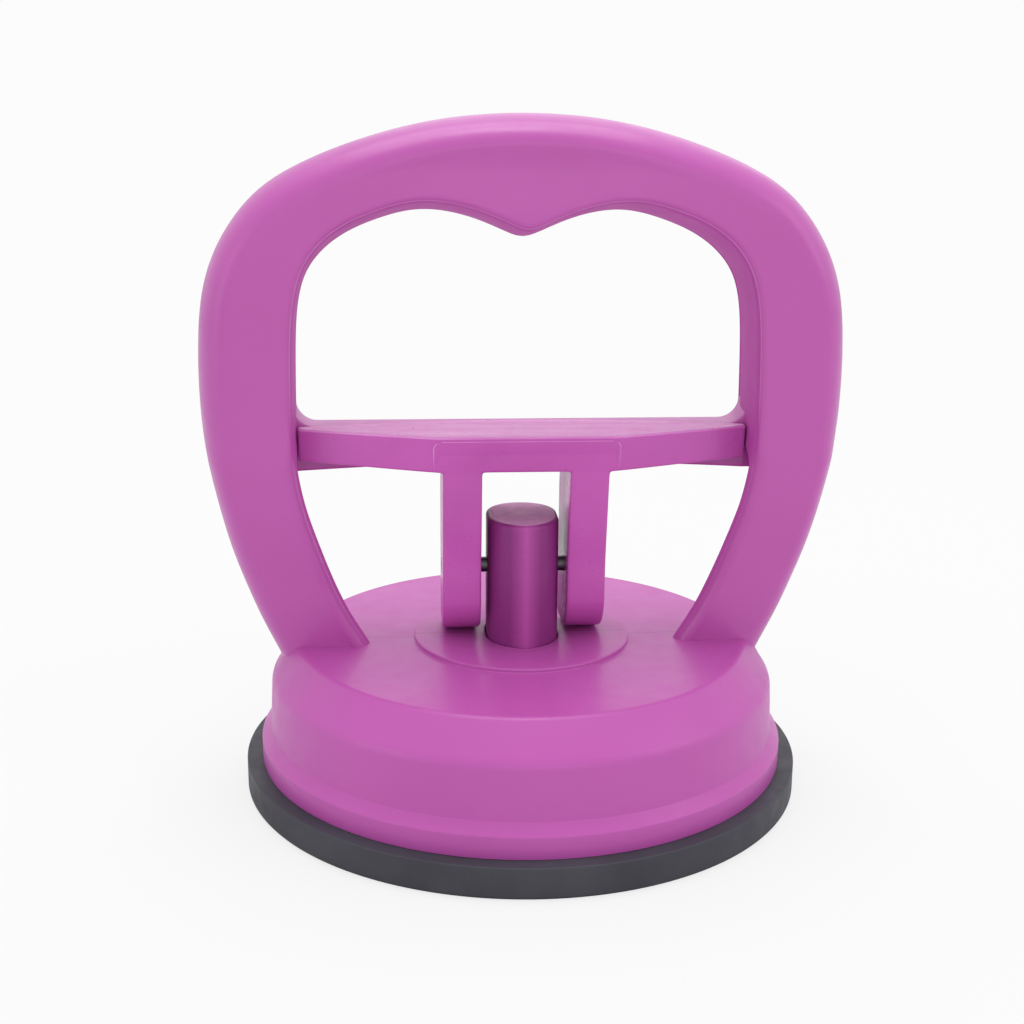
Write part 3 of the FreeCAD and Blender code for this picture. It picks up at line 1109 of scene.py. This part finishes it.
@dataclass
class Lever(Part):
    """Thumb bar on two fork legs with cam feet, one moulding."""

    body: str = "lever"
    node: str = "lever"
    slot: str = "lever_plastic"
    pivot_z: float = 21.8
    seat_z: float = 14.7
    foot_gap: float = 0.03
    leg_front: float = -3.0
    leg_slope: float = 0.165
    slope_start: float = 0.8
    leg_back: float = 4.3
    neck_back: float = 2.6
    neck_z: float = 31.0
    leg_in: float = 4.2
    leg_out: float = 7.95
    draft: tuple[float, ...] = (0.0, 0.03, 0.06, 0.16, 0.2)
    sole_height: float = 1.1
    sole_draw: float = 0.22
    heel: float = 0.9
    cam_angles: tuple[int, ...] = (0, 6, 12, 20, 28, 36, 44, 52, 60, 68, 76, 84)
    leg_heights: tuple[float, ...] = (21.8, 23.2, 25.5, 28.0, 30.3)
    fillet: float = 0.5
    bar_low: float = 32.15
    bar_high: float = 35.8
    bar_reach: float = -5.5
    half: float = 21.6
    sweep_start: float = 8.8
    tip_front: float = -0.85
    tip_slope: float = 0.3
    bulge: float = 2.9
    tip_rise: float = 0.45
    edge: float = 0.5
    top_edge: float = 0.16
    hole: float = 0.8
    panel_half: float = 8.9
    panel_top: float = 35.3
    panel_corner: float = 0.7
    panel_proud: float = 0.07
    panel_height: float = 2.6
    panel_lip: float = 0.13
    panel_root: float = 0.4

    @property
    def cam_rise(self) -> float:
        """Fall of the cam foot in mm for each radian."""
        return (self.pivot_z - self.seat_z + self.leg_front) / (math.pi / 2)

    def cam(self, angle: float) -> Point2:
        """Place on the cam foot's front.

        Args:
            angle: The lever's angle in degrees at which this place bears on the guide.

        Returns:
            The place (y, z).
        """
        a = math.radians(angle)
        h = self.pivot_z - self.seat_z - self.foot_gap - self.cam_rise * a
        return (self.cam_rise * math.cos(a) - h * math.sin(a),
                self.pivot_z - h * math.cos(a) - self.cam_rise * math.sin(a))

    def leg_face(self, z: float) -> float:
        """Front of the legs above the pivot, leaning forward towards the bar."""
        return self.leg_front - self.leg_slope * max(0.0, z - self.pivot_z - self.slope_start)

    def bar_front(self, x: float, z: float) -> float:
        """Front of the bar: flush with the legs below, swept back to the tips.

        Args:
            x: Place along X.
            z: Height.

        Returns:
            The front's y.
        """
        t = (z - self.bar_low) / (self.bar_high - self.bar_low)
        root = self.leg_face(self.bar_low)
        middle = root + (self.bar_reach - root) * t
        tip = self.tip_front - self.tip_slope * t
        share = max(0.0, (abs(x) - self.sweep_start) / (self.half - self.sweep_start))
        return middle + (tip - middle) * share

    def leg_place(self, x: float, z: float, front: float, j: int) -> Point3:
        """Corner of a leg's grid.

        Args:
            x: Grid line along X.
            z: Height.
            front: Front of the leg there.
            j: Grid line from 0 at the front to 4 at the back.

        Returns:
            The corner, with the foot's sides drawn in and the inner side drafted.
        """
        side = math.copysign(1, x)
        if abs(x) < self.leg_in + 0.01:
            x -= side * self.draft[j]
        middle = side * (self.leg_in + self.leg_out) / 2
        sole = max(0.0, 1 - (z - self.seat_z) / self.sole_height)
        x += (middle - x) * self.sole_draw * sole ** 2
        back = self.leg_back if z < self.neck_z else self.neck_back
        if z < self.seat_z + 0.04:
            back -= self.heel
        step = 1.0 if front < 0.5 else front + 0.6
        soft = min(self.edge, (back - front) * 0.2)
        return (x, (front, front + soft, step, back - soft, back)[j], z)

    def lines(self) -> list[float]:
        """Grid lines along X, close together where an edge is rounded.

        Returns:
            Their places from left to right.
        """
        e, f = self.edge, self.fillet
        right = [0.0, 2.0, self.leg_in - f, self.leg_in, self.leg_in + e, self.leg_out - e, self.leg_out,
                 self.leg_out + f, 10.5, 14.0, 18.0, self.half - 0.35, self.half]
        return [-x for x in right[:0:-1]] + right

    def block(self) -> bpy.types.Object:
        """Bar and legs on one grid, so that they share their faces, rounded by subdivision.

        Returns:
            The lever without its ledge.
        """
        xs = self.lines()
        legs = [(z, y) for y, z in (self.cam(a) for a in self.cam_angles)]
        legs += [(z, self.leg_face(z)) for z in (*self.leg_heights, self.bar_low - self.fillet)]
        bar = [self.bar_low, self.bar_low + 0.3, 33.2, 34.3, self.bar_high - 0.7,
               self.bar_high - self.top_edge, self.bar_high]
        skin = Skin()
        numbers: dict[tuple[int, int, int], int] = {}

        def place(i: int, j: int, k: int) -> Point3:
            """Corner of the grid.

            Args:
                i: Grid line along X.
                j: Grid line from front to back.
                k: Grid line upwards.

            Returns:
                The corner's place.
            """
            x = xs[i]
            if k < len(legs):
                return self.leg_place(x, *legs[k], j)
            z = bar[k - len(legs)]
            share = (self.bar_high - z) / (self.bar_high - self.bar_low)
            climb = self.tip_rise * max(0.0, abs(x) - self.leg_out) / (self.half - self.leg_out)
            front = self.bar_front(x, z)
            back = self.bulge * (1 - (x / self.half) ** 2)
            soft = min(self.edge, (back - front) * 0.25)
            middle = min(1.0, front + (back - front) * 0.6)
            return (x, (front, front + soft, middle, back - soft, back)[j], z + climb * share)

        def number(i: int, j: int, k: int) -> int:
            """Number of a grid corner, which is added the first time.

            Args:
                i: Grid line along X.
                j: Grid line from front to back.
                k: Grid line upwards.

            Returns:
                The number.
            """
            if (i, j, k) not in numbers:
                numbers[i, j, k] = skin.ring([place(i, j, k)])[0]
            return numbers[i, j, k]

        blocks = set()
        for i in range(len(xs) - 1):
            leg = abs((xs[i] + xs[i + 1]) / 2)
            for j in range(4):
                for k in range(len(legs) + len(bar) - 1):
                    if k >= len(legs) or self.leg_in < leg < self.leg_out:
                        blocks.add((i, j, k))
        sides = (((-1, 0, 0), ((0, 0, 0), (0, 1, 0), (0, 1, 1), (0, 0, 1))),
                 ((1, 0, 0), ((1, 0, 0), (1, 1, 0), (1, 1, 1), (1, 0, 1))),
                 ((0, -1, 0), ((0, 0, 0), (1, 0, 0), (1, 0, 1), (0, 0, 1))),
                 ((0, 1, 0), ((0, 1, 0), (1, 1, 0), (1, 1, 1), (0, 1, 1))),
                 ((0, 0, -1), ((0, 0, 0), (1, 0, 0), (1, 1, 0), (0, 1, 0))),
                 ((0, 0, 1), ((0, 0, 1), (1, 0, 1), (1, 1, 1), (0, 1, 1))))
        top = len(legs) + len(bar) - 2
        for i, j, k in sorted(blocks):
            for (di, dj, dk), corners in sides:
                if (i + di, j + dj, k + dk) in blocks:
                    continue
                mark = LeverFace.SIDE
                if k == top and dk == 1 and 0 < j:
                    mark = LeverFace.TOP
                # the front faces of the bar's top edge band take the painted highlight colour
                if k == top and dj == -1:
                    mark = LeverFace.EDGE_HIGHLIGHT
                skin.face([number(i + a, j + b, k + c) for a, b, c in corners], mark)
        lever = skin.piece("cam_lever", [LEVER_PLASTIC, LEVER_TOP, LEVER_PAINTED_EDGE_HIGHLIGHT], 30)
        smooth(lever, 2, 35)
        drill(lever, self.hole, self.leg_out + 1, self.pivot_z)
        return lever

    def panel(self) -> bpy.types.Object:
        """Thin raised ledge under the bar's front edge, which sinks into the bar below.

        Returns:
            The ledge.
        """
        skin = Skin()
        lip, low = self.panel_lip, self.panel_top - self.panel_height
        arc = [self.panel_corner * math.sin(a) for a in np.linspace(0, math.pi / 2, 8)]
        start = self.panel_top - self.panel_corner
        ladder = [(z, 0.0) for z in np.linspace(low, start, 10)]
        for rise in arc[1:]:
            inset = self.panel_corner - math.sqrt(self.panel_corner ** 2 - rise ** 2)
            ladder.append((start + rise, inset))
        rings = []
        for z, inset in ladder:
            half = self.panel_half - inset
            proud = self.panel_proud * (2 * ramp(z, low, self.panel_top - 0.1) - 1)
            row = []
            inner = np.linspace(-half + 0.3, half - 0.3, 9)
            for x in (-half, -half, -half + lip, *inner, half - lip, half, half):
                row.append([x, self.bar_front(x, z) - proud, z])
            for k, sunk in ((0, self.panel_root), (1, lip), (-2, lip), (-1, self.panel_root)):
                row[k][1] += sunk
            rings.append(skin.ring(row))
        last = [skin.points[n] for n in rings[-1]]
        rings.append(skin.ring([(x, y + lip, z + lip) for x, y, z in last]))
        rings.append(skin.ring([(x, y + self.panel_root, z + lip) for x, y, z in last]))
        # the ledge's side lips and its top lip take the painted highlight colour
        rim = (0, 1, len(rings[0]) - 3, len(rings[0]) - 2)
        for a, b in zip(rings[:-3], rings[1:-2]):
            skin.bridge(a, b, closed=False, other=rim)
        for a, b in zip(rings[-3:-1], rings[-2:]):
            skin.bridge(a, b, closed=False, other=range(len(a)))
        return skin.piece("cam_lever_panel", [LEVER_PLASTIC, LEVER_PAINTED_EDGE_HIGHLIGHT], 60)

    def build(self) -> list[bpy.types.Object]:
        """The moulding and the raised ledge on its front.

        Returns:
            The pieces.
        """
        return [self.block(), self.panel()]


# ------------------------------------------------------------------ studio
@dataclass(frozen=True)
class Lamp:
    """Square softbox aimed at the lifter, in metres and watts."""

    name: str
    place: Point3
    size: float
    watts: float
    aim: Point3 = (0.0, 0.0, 0.03)

    def light(self) -> None:
        """Adds the lamp to the scene."""
        data = bpy.data.lights.new(self.name, "AREA")
        data.shape = "SQUARE"
        data.size = self.size
        data.energy = self.watts
        lamp = bpy.data.objects.new(self.name, data)
        lamp.location = self.place
        lamp.rotation_euler = (Vector(self.aim) - Vector(self.place)).to_track_quat("-Z", "Y").to_euler()
        bpy.context.scene.collection.objects.link(lamp)


@dataclass
class Studio:
    """Pale floor, soft lamps and the camera."""

    eye: Point3 = (-12.53, -144.34, 65.65)
    azimuth: float = -4.556
    elevation: float = 14.906
    roll: float = 0.454
    lens: float = 53.64
    white: float = 0.973
    glow: float = 0.83
    mirror: float = 0.96
    paper: float = 0.74
    paper_glow: float = 0.78
    fade: Point2 = (0.05, 0.25)
    floor_radius: float = 3000.0
    floor_sides: int = 64
    sensor: float = 36.0
    near: float = 0.01
    lamps: tuple[Lamp, ...] = (
        Lamp("top_lamp", (0.0, 0.1, 0.6), 0.45, 1.6),
        Lamp("strip_lamp", (0.0, 0.02, 0.62), 0.14, 0.26),
        Lamp("side_lamp", (0.5, -0.2, 0.3), 0.35, 0.45),
        Lamp("front_lamp", (0.05, -0.6, 0.12), 0.4, 0.3),
        Lamp("left_lamp", (-0.5, -0.25, 0.14), 0.3, 0.24),
        Lamp("rear_lamp", (0.1, 0.5, 0.35), 0.4, 0.22))

    def camera(self) -> None:
        """Places the camera and makes it the scene's."""
        a, e, t = (math.radians(v) for v in (self.azimuth, self.elevation, self.roll))
        back = Vector((math.sin(a) * math.cos(e), -math.cos(a) * math.cos(e), math.sin(e)))
        level = Vector((math.cos(a), math.sin(a), 0.0))
        upright = back.cross(level)
        right = level * math.cos(t) + upright * math.sin(t)
        up = upright * math.cos(t) - level * math.sin(t)
        data = bpy.data.cameras.new("studio_camera")
        data.lens = self.lens
        data.sensor_width = self.sensor
        data.clip_start = self.near
        camera = bpy.data.objects.new("studio_camera", data)
        turn = Matrix((right, up, back)).transposed().to_4x4()
        camera.matrix_world = Matrix.Translation(Vector(self.eye) * MM) @ turn
        bpy.context.scene.collection.objects.link(camera)
        bpy.context.scene.camera = camera

    def floor(self) -> None:
        """Round pale floor that keeps the soft shadow and fades into the background."""
        skin = Skin()
        turns = [2 * math.pi * k / self.floor_sides for k in range(self.floor_sides)]
        skin.face(skin.ring([(self.floor_radius * math.cos(a), self.floor_radius * math.sin(a), 0)
                             for a in turns]))
        floor = skin.piece("floor", [])
        material = bpy.data.materials.new("floor_paper")
        material.use_nodes = True
        desk = NodeDesk(material.node_tree)
        material.node_tree.nodes.remove(material.node_tree.nodes["Principled BSDF"])
        paper = desk.add("ShaderNodeBsdfDiffuse")
        paper.inputs["Color"].default_value = (self.paper, self.paper, self.paper, 1)
        glow = desk.add("ShaderNodeEmission")
        glow.inputs["Color"].default_value = (self.white, self.white, self.white, 1)
        place = desk.add("ShaderNodeTexCoord")
        away = desk.add("ShaderNodeVectorMath")
        away.operation = "LENGTH"
        desk.join(place.outputs["Object"], away.inputs[0])
        fade = desk.spread(away.outputs["Value"], *self.fade, self.paper_glow, 1.0)
        path = desk.add("ShaderNodeLightPath")
        share = desk.add("ShaderNodeMath")
        share.operation = "MULTIPLY"
        mix = desk.add("ShaderNodeMixShader")
        desk.join(path.outputs["Is Camera Ray"], share.inputs[0])
        desk.join(fade, share.inputs[1])
        desk.join(share.outputs[0], mix.inputs[0])
        desk.join(paper.outputs[0], mix.inputs[1])
        desk.join(glow.outputs[0], mix.inputs[2])
        desk.join(mix.outputs[0], material.node_tree.nodes["Material Output"].inputs["Surface"])
        floor.data.materials.append(material)

    def surround(self) -> None:
        """White to the camera and in reflections, a plain grey glow on the object."""
        world = bpy.data.worlds.new("studio_world")
        world.use_nodes = True
        desk = NodeDesk(world.node_tree)
        ground = world.node_tree.nodes["Background"]
        ground.inputs["Color"].default_value = (1, 1, 1, 1)
        path = desk.add("ShaderNodeLightPath")
        seen = desk.spread(path.outputs["Is Camera Ray"], 0, 1, self.glow, self.white)
        level = desk.add("ShaderNodeMath")
        level.operation = "MULTIPLY_ADD"
        level.inputs[1].default_value = self.mirror - self.glow
        desk.join(path.outputs["Is Glossy Ray"], level.inputs[0])
        desk.join(seen, level.inputs[2])
        desk.join(level.outputs[0], ground.inputs["Strength"])
        bpy.context.scene.world = world

    def build(self) -> None:
        """Sets up the whole studio."""
        self.camera()
        self.floor()
        self.surround()
        for lamp in self.lamps:
            lamp.light()
        bpy.context.scene.view_settings.view_transform = "Standard"
        log.info("Studio: camera, floor, world and %d lamps", len(self.lamps))


def main() -> None:
    """Builds the lifter's sub-assemblies in order, then the studio."""
    logging.basicConfig(level=logging.INFO, format="%(name)s %(message)s")
    parts: list[Part] = [SuctionPad(), Dome(), LoopHandle(), Crossbar(), Plunger(), PivotPin(), Lever()]
    for part in parts:
        part.fit()
    Studio().build()


if __name__ == "__main__":
    main()
